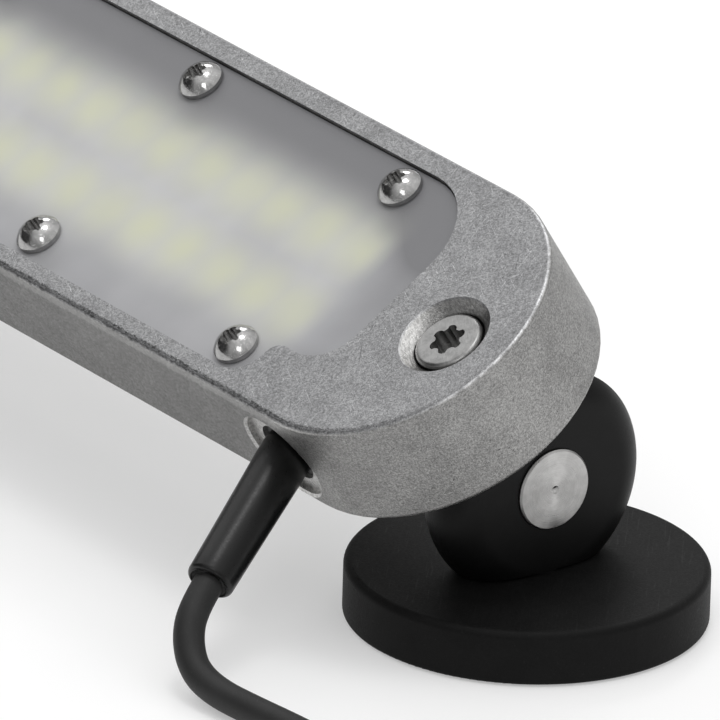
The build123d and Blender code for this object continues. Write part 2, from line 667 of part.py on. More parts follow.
def add_foot(letter, x, outward):
    """All the pieces of one foot; outward is +1 where the bar's near end is at +X."""
    at_hinge = Pos(x, 0, HINGE_HEIGHT)
    on_floor = Pos(x, 0, 0)
    for name, shape in (
        ("clamp_screw", make_clamp_screw()),
        ("lock_washer", make_lock_washer()),
        ("tilt_tongue", make_tongue()),
    ):
        nodes[f"{name}_{letter}"] = tilted(Pos(x, 0, 0) * shape)
    for name, side in (("outer", outward), ("inner", -outward)):
        nodes[f"knuckle_shell_{name}_{letter}"] = at_hinge * make_knuckle_shell(side)
        nodes[f"pivot_cap_{name}_{letter}"] = at_hinge * make_pivot_cap(side)
    nodes[f"pivot_pin_{letter}"] = at_hinge * make_pivot_pin()
    nodes[f"friction_washers_{letter}"] = at_hinge * make_friction_washers()
    for name, shape in (
        ("magnet_screw", make_magnet_screw()),
        ("swivel_washer", make_swivel_washer()),
        ("magnet_rubber", make_magnet_rubber()),
        ("magnet_plate", make_magnet_plate()),
        ("magnet_discs", make_magnet_discs()),
        ("magnet_bush", make_magnet_bush()),
    ):
        nodes[f"{name}_{letter}"] = on_floor * shape


add_foot("a", 0.0, 1)
add_foot("b", -FOOT_SPACING, -1)

# ---------------------------------------------------------------- cord
boot_axis = tilted_point(*BOOT_DIRECTION) - tilted_point(0, 0, 0)
boot_end = tilted_point(*MOUTH) + boot_axis * BOOT_LENGTH

# From the boot the cable dips to the floor, turns along the bar and runs to its coil.
CABLE_ROUTE = [
    boot_end,
    boot_end + boot_axis * 4.0,
    Vector(-4.0, -45.9, 5.9),
    Vector(-1.2, -46.9, 3.2),
    Vector(3.0, -46.8, CABLE_FLOOR_Z + 0.1),
    Vector(9.5, -46.2, CABLE_FLOOR_Z),
    Vector(18.0, -45.2, CABLE_FLOOR_Z),
    Vector(28.5, -44.8, CABLE_FLOOR_Z),
    Vector(39.5, -45.1, CABLE_FLOOR_Z),
    Vector(50.0, -45.9, CABLE_FLOOR_Z),
    Vector(60.0, -46.1, CABLE_FLOOR_Z),
]

# The wound length, one ring of square section; its last turn leaves the top, outermost.
COIL_HALF_WIDTH = COIL_COLUMNS * CABLE_DIAMETER / 2
COIL_HEIGHT = COIL_LAYERS * CABLE_DIAMETER
COIL_OUTER_RADIUS = COIL_MEAN_RADIUS + COIL_HALF_WIDTH
TURN_RADIUS = COIL_OUTER_RADIUS - CABLE_DIAMETER / 2
TURN_TOP_Z = COIL_HEIGHT - CABLE_DIAMETER / 2

# From the coil's last turn down to the plug, which lies beside the coil.
PLUG_REAR_X = COIL_CENTRE[0] - 37.0
PLUG_AXIS_Y = COIL_CENTRE[1] - 22.4
TAIL_ROUTE = [
    Vector(COIL_CENTRE[0] - 2.0, COIL_CENTRE[1] - TURN_RADIUS, TURN_TOP_Z),
    Vector(COIL_CENTRE[0] - 9.0, COIL_CENTRE[1] - TURN_RADIUS, TURN_TOP_Z - 0.1),
    Vector(COIL_CENTRE[0] - 17.0, COIL_CENTRE[1] - TURN_RADIUS + 0.5, TURN_TOP_Z - 2.2),
    Vector(COIL_CENTRE[0] - 25.0, PLUG_AXIS_Y - 1.3, PLUG_DIAMETER / 2 + 1.7),
    Vector(COIL_CENTRE[0] - 32.0, PLUG_AXIS_Y - 0.1, PLUG_DIAMETER / 2),
    Vector(PLUG_REAR_X, PLUG_AXIS_Y, PLUG_DIAMETER / 2),
]


def bend_radii(route):
    """As large an arc at each corner as its two runs allow."""
    radii = []
    for before, here, after in zip(route, route[1:], route[2:]):
        arriving = here - before
        leaving = after - here
        half_turn = radians(arriving.get_angle(leaving)) / 2
        radii.append(0.45 * min(arriving.length, leaving.length) / tan(half_turn))
    return radii


def make_cable(name, route):
    """One round tube along a route; its bends, length and volume are printed."""
    radii = bend_radii(route)
    path = FilletPolyline(*route, radius=radii)
    section = Plane(path @ 0, z_dir=path % 0) * Circle(CABLE_DIAMETER / 2)
    tube = sweep(section, path=path)
    expected = pi * CABLE_DIAMETER**2 / 4 * path.length
    print(name, "bend radii, mm:", [round(radius, 1) for radius in radii])
    print(f"{name}: length {path.length:.1f} mm, volume {tube.volume:.1f}")
    print(f"{name}: section x length {expected:.1f}")
    return tube


def make_coil_and_tie():
    """The wound cable as one ring, pinched by the tie at its +X side."""
    ring_section = Pos(COIL_MEAN_RADIUS, COIL_HEIGHT / 2) * RectangleRounded(
        2 * COIL_HALF_WIDTH, COIL_HEIGHT, CABLE_DIAMETER / 2 - 0.05
    )
    ring = revolve(Plane.XZ * ring_section, Axis.Z)
    inner_x = COIL_MEAN_RADIUS - COIL_HALF_WIDTH
    low = (inner_x - TIE_THICKNESS / 2, -TIE_WIDTH / 2, 0)
    high = (COIL_OUTER_RADIUS + TIE_THICKNESS / 2, TIE_WIDTH / 2, COIL_HEIGHT + TIE_THICKNESS / 2)
    band = fillet(block(low, high).edges().filter_by(Axis.Y), 1.6)
    opening = block(
        (low[0] + TIE_THICKNESS, low[1] - 1, TIE_THICKNESS),
        (high[0] - TIE_THICKNESS, high[1] + 1, high[2] - TIE_THICKNESS),
    )
    band -= fillet(opening.edges().filter_by(Axis.Y), 1.2)
    place = Pos(COIL_CENTRE[0], COIL_CENTRE[1], 0)
    return place * (ring - band), place * band


def make_plug_body():
    """Moulded plug on the floor beside the coil, its nose towards -X."""
    radius = PLUG_DIAMETER / 2
    rear = Plane.XY * Circle(CABLE_DIAMETER / 2 + 0.5)
    front = Pos(0, 0, PLUG_RELIEF_LENGTH) * Circle(radius - PLUG_NOSE_STEP)
    relief = loft([rear, front])
    grip = cylinder(PLUG_DIAMETER, PLUG_RELIEF_LENGTH, PLUG_RELIEF_LENGTH + PLUG_LENGTH)
    grip = fillet(grip.edges().filter_by(GeomType.CIRCLE), 0.8)
    return plug_place() * (relief + grip)


def plug_place():
    return Pos(PLUG_REAR_X, PLUG_AXIS_Y, PLUG_DIAMETER / 2) * Rot(0, -90, 0)


def make_plug_barrel():
    start = PLUG_RELIEF_LENGTH + PLUG_LENGTH
    barrel = cylinder(PLUG_BARREL_DIAMETER, start, start + PLUG_BARREL_LENGTH)
    pin_hole = cylinder(PLUG_PIN_HOLE_DIAMETER, start + 1.0, start + PLUG_BARREL_LENGTH + 1)
    return plug_place() * (barrel - pin_hole)


nodes["cable"] = make_cable("cable", CABLE_ROUTE)
nodes["cable_tail"] = make_cable("cable_tail", TAIL_ROUTE)
nodes["cable_coil"], nodes["coil_tie"] = make_coil_and_tie()
nodes["plug_body"] = make_plug_body()
nodes["plug_barrel"] = make_plug_barrel()

for name, shape in nodes.items():
    export_step(shape, f"parts/{name}.step")
print(len(nodes), "nodes")
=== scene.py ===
import math

import bmesh
import bpy
from mathutils import Matrix, Vector


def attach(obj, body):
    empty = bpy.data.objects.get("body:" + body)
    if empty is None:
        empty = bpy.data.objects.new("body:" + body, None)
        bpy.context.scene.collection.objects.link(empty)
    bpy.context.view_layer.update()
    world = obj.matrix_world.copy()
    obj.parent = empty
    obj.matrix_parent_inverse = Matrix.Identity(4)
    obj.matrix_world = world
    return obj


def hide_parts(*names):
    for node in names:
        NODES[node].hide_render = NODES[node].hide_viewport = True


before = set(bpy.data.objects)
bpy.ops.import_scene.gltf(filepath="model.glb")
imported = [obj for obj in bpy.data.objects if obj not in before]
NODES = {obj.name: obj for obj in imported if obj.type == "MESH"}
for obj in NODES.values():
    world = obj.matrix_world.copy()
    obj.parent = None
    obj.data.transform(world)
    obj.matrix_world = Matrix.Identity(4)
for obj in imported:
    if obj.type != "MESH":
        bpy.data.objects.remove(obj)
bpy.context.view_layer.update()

MM = 0.001

# ------------------------------------------------------------------ dimensions, mm
# The bar frame has the bar level and the hinge axis at z = 0; the row frame is the CAD's.
TILT = math.radians(32.4)
HINGE_Z = 17.25
FACE_Z = 24.7
BAR_HALF_WIDTH = 19.9
STRAIGHT_HALF_LENGTH = 115.1
FOOT_B_X = -250.0
MID_X = -125.0
LED_FIRST_X = -27.5
LED_PITCH = 7.5
LED_ROW_Y = 5.3
GLOW_AHEAD = 5.0             # from an LED to its glow in the cover, along +X
GLOW_ASIDE = 0.9             # and towards -Y
SCREW_FIRST_X = -25.0
SCREW_PITCH = 40.0
SCREW_Y = 13.7
SCREW_SHADE_AHEAD = 4.0      # from a screw to the painted shadow beside it, along +X
SCREW_SHADE_ASIDE = 2.8      # and towards -Y
GLAND_X = -14.0
GLAND_Z = 16.4
SPOT_RADIUS = 6.05
SPOT_FLOOR_Y = -19.0
COUNTERSINK_RADIUS = 5.85
CABLE_DIAMETER = 3.7
BOOT_LENGTH = 20.4
BOOT_RADIUS = 3.2
BOOT_ROOT_DEPTH = 5.8
BOOT_ELBOW = 0.9
BOOT_SWING = math.radians(20.5)
COIL_CENTRE = (66.0, -71.8)
COIL_MEAN_RADIUS = 20.0
PLUG_AXIS_Y = -94.2
PLUG_AXIS_Z = 4.75
PLUG_REAR_X = 29.0
PLUG_RADIUS = 4.72


def from_bar(x, y, z):
    """A point of the bar frame (level bar, hinge axis at z = 0) in the row frame, mm."""
    return Vector((
        x,
        y * math.cos(TILT) - z * math.sin(TILT),
        HINGE_Z + y * math.sin(TILT) + z * math.cos(TILT),
    ))


# ------------------------------------------------------------------ camera
CAMERA_AZIMUTH = math.radians(53.309)
CAMERA_ELEVATION = math.radians(22.567)
CAMERA_ROLL = math.radians(1.701)
CAMERA_LENS = 860.69         # mm, on a sensor 36 mm wide
CAMERA_ASIDE = -19.37        # mm from foot A's origin, along the picture's right
CAMERA_ABOVE = 29.456        # along its up
CAMERA_DISTANCE = 2011.126   # and back along the view


def make_camera():
    """The camera at the photograph's angle; it takes in the near end of the light."""
    forward = Vector((
        -math.sin(CAMERA_AZIMUTH) * math.cos(CAMERA_ELEVATION),
        math.cos(CAMERA_AZIMUTH) * math.cos(CAMERA_ELEVATION),
        -math.sin(CAMERA_ELEVATION),
    ))
    level_right = forward.cross(Vector((0, 0, 1))).normalized()
    level_up = level_right.cross(forward)
    right = level_right * math.cos(CAMERA_ROLL) + level_up * math.sin(CAMERA_ROLL)
    up = level_up * math.cos(CAMERA_ROLL) - level_right * math.sin(CAMERA_ROLL)
    place = (right * CAMERA_ASIDE + up * CAMERA_ABOVE - forward * CAMERA_DISTANCE) * MM
    data = bpy.data.cameras.new("camera")
    data.lens = CAMERA_LENS
    data.sensor_width = 36.0
    data.clip_start = 0.1
    data.clip_end = 20.0
    camera = bpy.data.objects.new("camera", data)
    bpy.context.scene.collection.objects.link(camera)
    turn = Matrix((right, up, -forward)).transposed().to_4x4()
    camera.matrix_world = Matrix.Translation(place) @ turn
    bpy.context.scene.camera = camera


make_camera()


# ------------------------------------------------------------------ cord
BOOT_AXIS = from_bar(math.sin(BOOT_SWING), -math.cos(BOOT_SWING), 0) - from_bar(0, 0, 0)
BOOT_MOUTH = from_bar(GLAND_X, SPOT_FLOOR_Y, GLAND_Z)
BOOT_END = BOOT_MOUTH + BOOT_AXIS * BOOT_LENGTH
FLOOR_Z = CABLE_DIAMETER / 2 + 0.05          # the cable's centre line where it lies on the floor

# From the boot down to the floor and along it to the coil; the same points as the tube's.
CABLE_ROUTE = [
    BOOT_END,
    BOOT_END + BOOT_AXIS * 4.0,
    Vector((-4.0, -45.9, 5.9)),
    Vector((-1.2, -46.9, 3.2)),
    Vector((3.0, -46.8, FLOOR_Z + 0.1)),
    Vector((9.5, -46.2, FLOOR_Z)),
    Vector((18.0, -45.2, FLOOR_Z)),
    Vector((28.5, -44.8, FLOOR_Z)),
    Vector((39.5, -45.1, FLOOR_Z)),
    Vector((50.0, -45.9, FLOOR_Z)),
    Vector((60.0, -46.1, FLOOR_Z)),
]
COIL_COLUMNS = 4
COIL_LAYERS = 4
TURN_POINTS = 16
SHIFT_HALF_ANGLE = 50.0      # degrees each side of -X in which a turn moves to the next track
CLIMB_BULGE = 1.4
OUTER_TURN_RADIUS = COIL_MEAN_RADIUS + 1.5 * CABLE_DIAMETER
TOP_TURN_Z = (COIL_LAYERS - 0.5) * CABLE_DIAMETER
TAIL_ROUTE = [
    Vector((COIL_CENTRE[0] - 9.0, COIL_CENTRE[1] - OUTER_TURN_RADIUS, TOP_TURN_Z - 0.1)),
    Vector((COIL_CENTRE[0] - 17.0, COIL_CENTRE[1] - OUTER_TURN_RADIUS + 0.5, TOP_TURN_Z - 2.2)),
    Vector((COIL_CENTRE[0] - 25.0, PLUG_AXIS_Y - 1.3, PLUG_AXIS_Z + 1.7)),
    Vector((COIL_CENTRE[0] - 32.0, PLUG_AXIS_Y - 0.1, PLUG_AXIS_Z)),
    Vector((PLUG_REAR_X - 4.0, PLUG_AXIS_Y, PLUG_AXIS_Z)),
]


def smooth(t):
    """An even start and stop from 0 to 1."""
    t = min(max(t, 0.0), 1.0)
    return t * t * (3 - 2 * t)


def coil_tracks():
    """(radius, height) of each turn in the order it is wound: in, out, in, out."""
    tracks = []
    for layer in range(COIL_LAYERS):
        columns = list(range(COIL_COLUMNS))
        if layer % 2 == 0:
            columns.reverse()
        for column in columns:
            radius = COIL_MEAN_RADIUS + (column - (COIL_COLUMNS - 1) / 2) * CABLE_DIAMETER
            tracks.append((radius, (layer + 0.5) * CABLE_DIAMETER))
    return tracks


def coil_points():
    """The coil's turns, clockwise from above, from the +Y side to just past the -Y side."""
    tracks = coil_tracks()
    step = 360.0 / TURN_POINTS
    points = []
    count = int((len(tracks) - 1) * TURN_POINTS + (180.0 + step) / step)
    for i in range(count):
        travelled = step * i
        # the shift to the next track is centred on the -X side, 270 degrees after the start
        turn, within = divmod(travelled + 90.0, 360.0)
        turn = int(turn)
        shift = smooth((within - (360.0 - SHIFT_HALF_ANGLE)) / (2 * SHIFT_HALF_ANGLE))
        if within < SHIFT_HALF_ANGLE and turn > 0:
            turn -= 1
            shift = smooth((within + SHIFT_HALF_ANGLE) / (2 * SHIFT_HALF_ANGLE))
        here = tracks[turn]
        there = tracks[min(turn + 1, len(tracks) - 1)]
        radius = here[0] + (there[0] - here[0]) * shift
        height = here[1] + (there[1] - here[1]) * shift
        if here[0] == there[0] and here[1] != there[1]:
            outward = 1 if here[0] > COIL_MEAN_RADIUS else -1
            radius += outward * CLIMB_BULGE * math.sin(math.pi * shift)
        angle = math.radians(90.0 - travelled)
        points.append(Vector((
            COIL_CENTRE[0] + radius * math.cos(angle),
            COIL_CENTRE[1] + radius * math.sin(angle),
            height,
        )))
    return points


def make_cord():
    """One curve from the boot along the floor, through the coil and out to the plug."""
    curve = bpy.data.curves.new("cord", "CURVE")
    curve.dimensions = "3D"
    curve.bevel_depth = CABLE_DIAMETER / 2 * MM
    curve.bevel_resolution = 6
    curve.use_fill_caps = True
    points = CABLE_ROUTE[:-1] + coil_points() + TAIL_ROUTE
    spline = curve.splines.new("NURBS")
    spline.points.add(len(points) - 1)
    for target, point in zip(spline.points, points):
        target.co = (*(point * MM), 1.0)
    spline.order_u = 3
    spline.use_endpoint_u = True
    spline.resolution_u = 10
    cord = bpy.data.objects.new("cord", curve)
    bpy.context.scene.collection.objects.link(cord)
    return cord


cord = make_cord()
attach(cord, "bar")
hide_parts("cable", "cable_tail", "cable_coil")


# ------------------------------------------------------------------ materials
class Look:
    """One material: a Principled shader and the nodes that feed it, in millimetres.

    Its point is in the row frame, or in the bar frame with bar=True. The coordinates are zero
    at the origin given, in mm, but the bar frame's height always starts at the hinge axis.
    """

    def __init__(self, name, bar=False, origin=(0.0, 0.0, 0.0), **sockets):
        self.material = bpy.data.materials.new(name)
        self.material.use_nodes = True
        self.tree = self.material.node_tree
        self.shader = self.tree.nodes["Principled BSDF"]
        for key, value in sockets.items():
            self.shader.inputs[key.replace("_", " ")].default_value = value
        turn = Matrix.Rotation(-TILT, 3, "X") if bar else Matrix.Identity(3)
        start = turn @ Vector((-origin[0], -origin[1], -(HINGE_Z if bar else origin[2])))
        place = self.node("TexCoord").outputs["Object"]
        turn_angles = (-TILT if bar else 0.0, 0.0, 0.0)
        mapping = self.node("Mapping", place, tuple(start), turn_angles, (1 / MM,) * 3)
        self.point = mapping.outputs[0]
        parts = self.node("SeparateXYZ", self.point)
        self.x, self.y, self.z = parts.outputs

    def node(self, kind, *values, **settings):
        node = self.tree.nodes.new("ShaderNode" + kind)
        for key, value in settings.items():
            setattr(node, key, value)
        for socket, value in zip(node.inputs, values):
            if value is not None:
                self.feed(socket, value)
        return node

    def feed(self, socket, value):
        if isinstance(value, bpy.types.NodeSocket):
            self.tree.links.new(value, socket)
        else:
            socket.default_value = value

    def math(self, operation, a, b=0.0, c=0.0):
        return self.node("Math", a, b, c, operation=operation).outputs[0]

    def add(self, a, b):
        return self.math("ADD", a, b)

    def times(self, a, b):
        return self.math("MULTIPLY", a, b)

    def less(self, a, b):
        return self.math("SUBTRACT", a, b)

    def darker(self, value, mask, amount):
        """The value less that share of itself where the mask is 1."""
        return self.times(value, self.less(1.0, self.times(mask, amount)))

    def larger(self, a, b):
        return self.math("MAXIMUM", a, b)

    def size(self, a, b):
        return self.math("SQRT", self.add(self.times(a, a), self.times(b, b)))

    def ramp(self, value, low, high, start=0.0, end=1.0):
        node = self.node("MapRange", value, low, high, start, end, interpolation_type="SMOOTHSTEP")
        return node.outputs[0]

    def mix(self, factor, a, b):
        node = self.node("Mix", data_type="RGBA")
        self.feed(node.inputs[0], factor)
        self.feed(node.inputs[6], (*a, 1.0) if isinstance(a, tuple) else a)
        self.feed(node.inputs[7], (*b, 1.0) if isinstance(b, tuple) else b)
        return node.outputs[2]

    def stretched(self, scale, angle=0.0, shift=0.0):
        """The point turned about Z by some degrees, moved and then scaled."""
        turned = self.node("Mapping", self.point, (shift,) * 3, (0.0, 0.0, math.radians(angle)), (1.0,) * 3)
        return self.node("VectorMath", turned.outputs[0], scale, operation="MULTIPLY").outputs[0]

    def noise(self, scale, detail=3.0, rough=0.55, point=None, shift=0.0):
        place = point or self.point
        if shift:
            place = self.node("VectorMath", place, (shift,) * 3, operation="ADD").outputs[0]
        node = self.node("TexNoise", place)
        for key, value in (("Scale", scale), ("Detail", detail), ("Roughness", rough)):
            node.inputs[key].default_value = value
        return node.outputs[0]

    def cells(self, scale, point=None, feature="F1"):
        node = self.node("TexVoronoi", point or self.point, feature=feature)
        node.inputs["Scale"].default_value = scale
        return node.outputs["Distance"]

    def scratches(self, angle, low, high, along=0.16, across=5.0, shift=0.0):
        """Straight scratches: the peaks of a noise stretched in one direction."""
        place = self.stretched((along, across, across), angle, shift)
        return self.ramp(self.noise(1.0, 1.0, 0.4, place), low, high)

    def grey(self, value, tint=(1.0, 1.0, 1.0)):
        """A colour of that brightness."""
        node = self.node("CombineColor", *[self.times(value, part) for part in tint])
        return node.outputs[0]

    def finish(self, colour, rough=None, height=None, depth=0.02):
        """Link colour, roughness and relief; depth is in mm."""
        self.feed(self.shader.inputs["Base Color"], colour)
        if rough is not None:
            self.feed(self.shader.inputs["Roughness"], rough)
        if height is not None:
            bump = self.node("Bump")
            bump.inputs["Distance"].default_value = depth * MM
            self.feed(bump.inputs["Height"], height)
            self.feed(self.shader.inputs["Normal"], bump.outputs[0])
        return self.material


def casting_texture(look, flat_side):
    """Grain, speckle, flecks and scratches, with painted shade on the flat sides: (brightness, grain,
    relief).
    """
    grain = look.noise(2.9, 3.0, 0.75)
    speckle = look.noise(5.0, 2.0, 0.6, shift=11.0)
    cloud = look.noise(0.22, 3.0, 0.6, shift=5.0)
    flecks = look.ramp(look.noise(2.2, 3.0, 0.75, shift=21.0), 0.64, 0.72)
    flecks = look.times(flecks, look.ramp(look.noise(0.35, 2.0, 0.5, shift=3.0), 0.42, 0.6))
    light_lines = look.scratches(24.0, 0.66, 0.76, along=0.35, across=5.5)
    for angle, shift in ((78.0, 7.0), (131.0, 13.0), (162.0, 19.0)):
        line = look.scratches(angle, 0.67, 0.77, along=0.35, across=5.5, shift=shift)
        light_lines = look.larger(light_lines, line)
    light_lines = look.times(light_lines, look.less(1.0, look.times(flat_side, 0.8)))
    dark_lines = look.scratches(52.0, 0.69, 0.76, along=0.3, across=4.0, shift=31.0)

    value = look.ramp(grain, 0.32, 0.68, 0.245, 0.335)
    value = look.times(value, look.ramp(cloud, 0.3, 0.7, 0.9, 1.1))
    value = look.times(value, look.ramp(speckle, 0.35, 0.65, 0.79, 1.21))
    value = look.add(value, look.times(light_lines, 0.11))
    value = look.darker(value, dark_lines, 0.25)
    value = look.darker(value, flecks, 0.55)
    # the long flat sides are smoother than the rounded ends, and painted darker as shade
    value = look.darker(value, flat_side, 0.41)

    height = look.add(look.times(grain, 0.6), look.times(speckle, 0.25))
    height = look.less(height, look.times(flecks, 0.6))
    height = look.less(height, look.times(look.larger(light_lines, dark_lines), 0.25))
    return value, grain, height


def rim_wear(look, value, beyond, face):
    """Wear along the face's edge: (brightness, fold). The outline is negative inside it."""
    y, z = look.y, look.z
    outline = look.less(look.size(beyond, y), BAR_HALF_WIDTH)
    straight = look.ramp(beyond, 9.0, 1.0)
    round_end = look.less(1.0, straight)
    # along the straight rim the skin is folded: a dark pitted line, then a rough light band
    pits = look.noise(1.9, 3.0, 0.8, shift=71.0)
    ragged = look.noise(0.8, 3.0, 0.7, shift=41.0)
    edge = look.add(outline, look.ramp(pits, 0.3, 0.7, -0.14, 0.14))
    fold = look.times(look.ramp(edge, -0.95, -0.55), look.ramp(edge, -0.12, -0.34))
    fold_depth = look.ramp(ragged, 0.3, 0.62, 0.38, 0.52)
    fold_depth = look.add(fold_depth, look.ramp(pits, 0.5, 0.62, 0.0, 0.34))
    round_part = look.times(round_end, look.ramp(y, -16.0, -4.0, 0.3, 0.9))
    fold = look.times(look.times(fold, face), look.less(1.0, round_part))
    fold = look.times(fold, look.ramp(y, 14.0, -2.0, 0.25, 1.0))
    value = look.times(value, look.less(1.0, look.times(fold, fold_depth)))
    pitted = look.ramp(look.noise(1.5, 3.0, 0.7, shift=61.0), 0.58, 0.68)
    pitted = look.times(look.ramp(outline, -1.6, -0.8), pitted)
    value = look.darker(value, look.times(pitted, face), 0.35)
    lower = look.add(z, look.times(look.noise(1.6, 2.0, 0.6, shift=51.0), 1.2))
    band = look.ramp(lower, FACE_Z - 1.2, FACE_Z - 0.5)
    band = look.times(band, look.ramp(outline, -0.35, -0.1))
    value = look.add(value, look.times(look.times(band, straight), 0.10))
    # round the end the rim is sharp and worn bright
    worn = look.ramp(z, FACE_Z - 0.45, FACE_Z - 0.15)
    worn = look.times(look.ramp(outline, -0.42, -0.22), worn)
    worn = look.times(worn, look.ramp(ragged, 0.38, 0.58, 0.25, 1.0))
    worn = look.times(worn, look.ramp(y, -14.0, -2.0, 0.12, 1.0))
    value = look.add(value, look.times(look.times(worn, round_end), 0.36))
    return value, fold


def machined_seats(look):
    """Where a cutter left the spot-face and the countersinks bright, with painted shade and a painted
    highlight in the countersinks: (mask, brightness).
    """
    x, y, z = look.x, look.y, look.z
    spot = look.size(look.less(x, GLAND_X), look.less(z, GLAND_Z))
    cut = look.ramp(spot, SPOT_RADIUS + 0.35, SPOT_RADIUS + 0.25)
    cut = look.times(cut, look.ramp(y, -BAR_HALF_WIDTH - 0.1, -BAR_HALF_WIDTH + 0.05))
    cut = look.times(cut, look.ramp(y, SPOT_FLOOR_Y + 1.0, SPOT_FLOOR_Y + 0.4))
    from_foot = look.size(look.math("PINGPONG", x, -MID_X), y)
    sink = look.ramp(from_foot, COUNTERSINK_RADIUS + 0.1, COUNTERSINK_RADIUS)
    sink = look.times(sink, look.ramp(z, FACE_Z, FACE_Z - 0.03))
    cut = look.larger(cut, sink)
    ridges = look.noise(1.0, 3.0, 0.7, look.stretched((1.2, 4.0, 2.5), 30.0))
    cut_value = look.ramp(ridges, 0.3, 0.7, 0.33, 0.62)
    # painted shade: the countersink is darker than the spot-face, and darker still low down, but for its
    # streaked -X wall, which is painted brighter as a highlight
    foot = look.times(look.math("ROUND", look.times(x, 1.0 / FOOT_B_X)), FOOT_B_X)
    aside = look.add(look.less(x, foot), look.times(y, 0.8))
    wall = look.ramp(aside, -3.2, -6.2, 0.42, 1.3)
    wall = look.times(wall, look.ramp(z, FACE_Z - 1.7, FACE_Z - 1.3, 0.6, 1.0))
    cut_value = look.times(cut_value, look.add(look.times(sink, wall), look.less(1.0, sink)))
    return cut, cut_value


def cast_aluminium():
    """Raw tumbled casting: grained face, flecks and scratches, folded rim, machined seats; painted light on
    the sides and painted shade on the flat sides.
    """
    look = Look("cast_aluminium", bar=True, Metallic=1.0)
    x, y = look.x, look.y
    beyond = look.less(look.math("ABSOLUTE", look.less(x, MID_X)), STRAIGHT_HALF_LENGTH)
    beyond = look.larger(beyond, 0.0)
    face = look.ramp(look.z, FACE_Z - 0.3, FACE_Z - 0.05)
    side = look.less(1.0, face)
    flat_side = look.ramp(look.math("ABSOLUTE", y), BAR_HALF_WIDTH - 0.9, BAR_HALF_WIDTH - 0.2)
    flat_side = look.times(flat_side, look.ramp(x, -6.0, -14.0))
    flat_side = look.times(flat_side, side)

    value, grain, height = casting_texture(look, flat_side)
    value, fold = rim_wear(look, value, beyond, face)
    cut, cut_value = machined_seats(look)
    value = look.add(look.times(value, look.less(1.0, cut)), look.times(cut, cut_value))
    # painted light: every side is made a tenth lighter than the face
    value = look.times(value, look.add(1.0, look.times(side, 0.1)))
    tint = look.mix(look.times(side, 0.8), (0.992, 0.995, 1.010), (1.012, 1.0, 0.975))
    colour = look.node("VectorMath", look.grey(value), tint, operation="MULTIPLY").outputs[0]

    rough = look.ramp(grain, 0.3, 0.7, 0.52, 0.40)
    rough = look.less(rough, look.times(cut, 0.14))
    height = look.less(height, look.times(fold, 1.2))
    height = look.darker(height, flat_side, 0.5)
    return look.finish(colour, rough, height, 0.06)


def frosted_acrylic():
    """Frosted cover: two rows of soft yellow spots, with painted shade over the ledge round the cavity and
    a painted shadow beside each screw.
    """
    look = Look("frosted_acrylic", bar=True, Roughness=0.42)
    look.shader.inputs["Specular IOR Level"].default_value = 0.35
    x, y = look.x, look.y
    from_mid = look.math("ABSOLUTE", look.less(x, MID_X))
    across = look.less(look.math("ABSOLUTE", look.add(y, GLOW_ASIDE)), LED_ROW_Y)
    along = look.math("WRAP", look.less(x, LED_FIRST_X + GLOW_AHEAD), LED_PITCH / 2, -LED_PITCH / 2)
    wobble = look.noise(0.16, 2.0, 0.5)
    near_chip = look.times(look.times(along, along), 0.075)
    near_chip = look.add(near_chip, look.times(look.times(across, across), 0.09))
    spot = look.math("EXPONENT", look.times(near_chip, -1.0))
    row = look.math("EXPONENT", look.times(look.times(across, across), -0.06))
    lit = look.ramp(look.math("ABSOLUTE", look.less(x, MID_X + GLOW_AHEAD)), 103.0, 99.0)
    spot = look.times(look.times(spot, lit), look.ramp(wobble, 0.3, 0.7, 0.6, 1.0))
    row = look.times(row, lit)
    # the cavity's ledge and wall show through as shade, least along the front
    back = look.ramp(y, 2.5, 13.5)
    front = look.ramp(y, -7.5, -13.5, 0.0, 0.38)
    end = look.times(look.ramp(from_mid, 100.5, 112.0), look.ramp(y, -16.0, 8.0, 0.35, 0.8))
    ledge = look.math("MINIMUM", look.add(look.larger(back, front), end), 1.0)
    # a soft painted shadow in the cover beside each screw
    beside = look.less(x, SCREW_FIRST_X + SCREW_SHADE_AHEAD)
    beside = look.math("WRAP", beside, SCREW_PITCH / 2, -SCREW_PITCH / 2)
    under = look.less(look.math("ABSOLUTE", look.add(y, SCREW_SHADE_ASIDE)), SCREW_Y)
    screw_shade = look.ramp(look.size(beside, under), 4.8, 0.8)
    soft = look.ramp(look.noise(0.09, 2.0, 0.5, shift=9.0), 0.3, 0.7)
    colour = look.mix(soft, (0.45, 0.45, 0.468), (0.52, 0.52, 0.535))
    colour = look.mix(look.times(ledge, 0.92), colour, (0.16, 0.16, 0.168))
    colour = look.mix(look.times(row, 0.5), colour, (0.57, 0.58, 0.50))
    colour = look.mix(look.times(spot, 0.64), colour, (0.61, 0.625, 0.42))
    colour = look.mix(look.times(screw_shade, 0.35), colour, (0.2, 0.2, 0.205))
    fine = look.noise(9.0, 2.0, 0.6)
    rough = look.ramp(fine, 0.3, 0.7, 0.38, 0.5)
    return look.finish(colour, rough, fine, 0.006)


def polished(name, origin, base, rough, swirl=0.10):
    """Bright metal with fine handling scratches."""
    look = Look(name, bar=True, origin=origin, Metallic=1.0)
    lines = look.scratches(35.0, 0.6, 0.72, along=0.5, across=9.0)
    lines = look.larger(lines, look.scratches(118.0, 0.62, 0.74, along=0.5, across=9.0, shift=5.0))
    patch = look.noise(1.2, 3.0, 0.6)
    value = look.add(look.ramp(patch, 0.3, 0.7, base - 0.06, base + 0.04), look.times(lines, 0.06))
    surface = look.add(look.ramp(patch, 0.3, 0.7, rough - 0.03, rough + 0.05), look.times(lines, swirl))
    return look.finish(look.grey(value, (1.0, 0.995, 0.985)), surface, lines, 0.004)


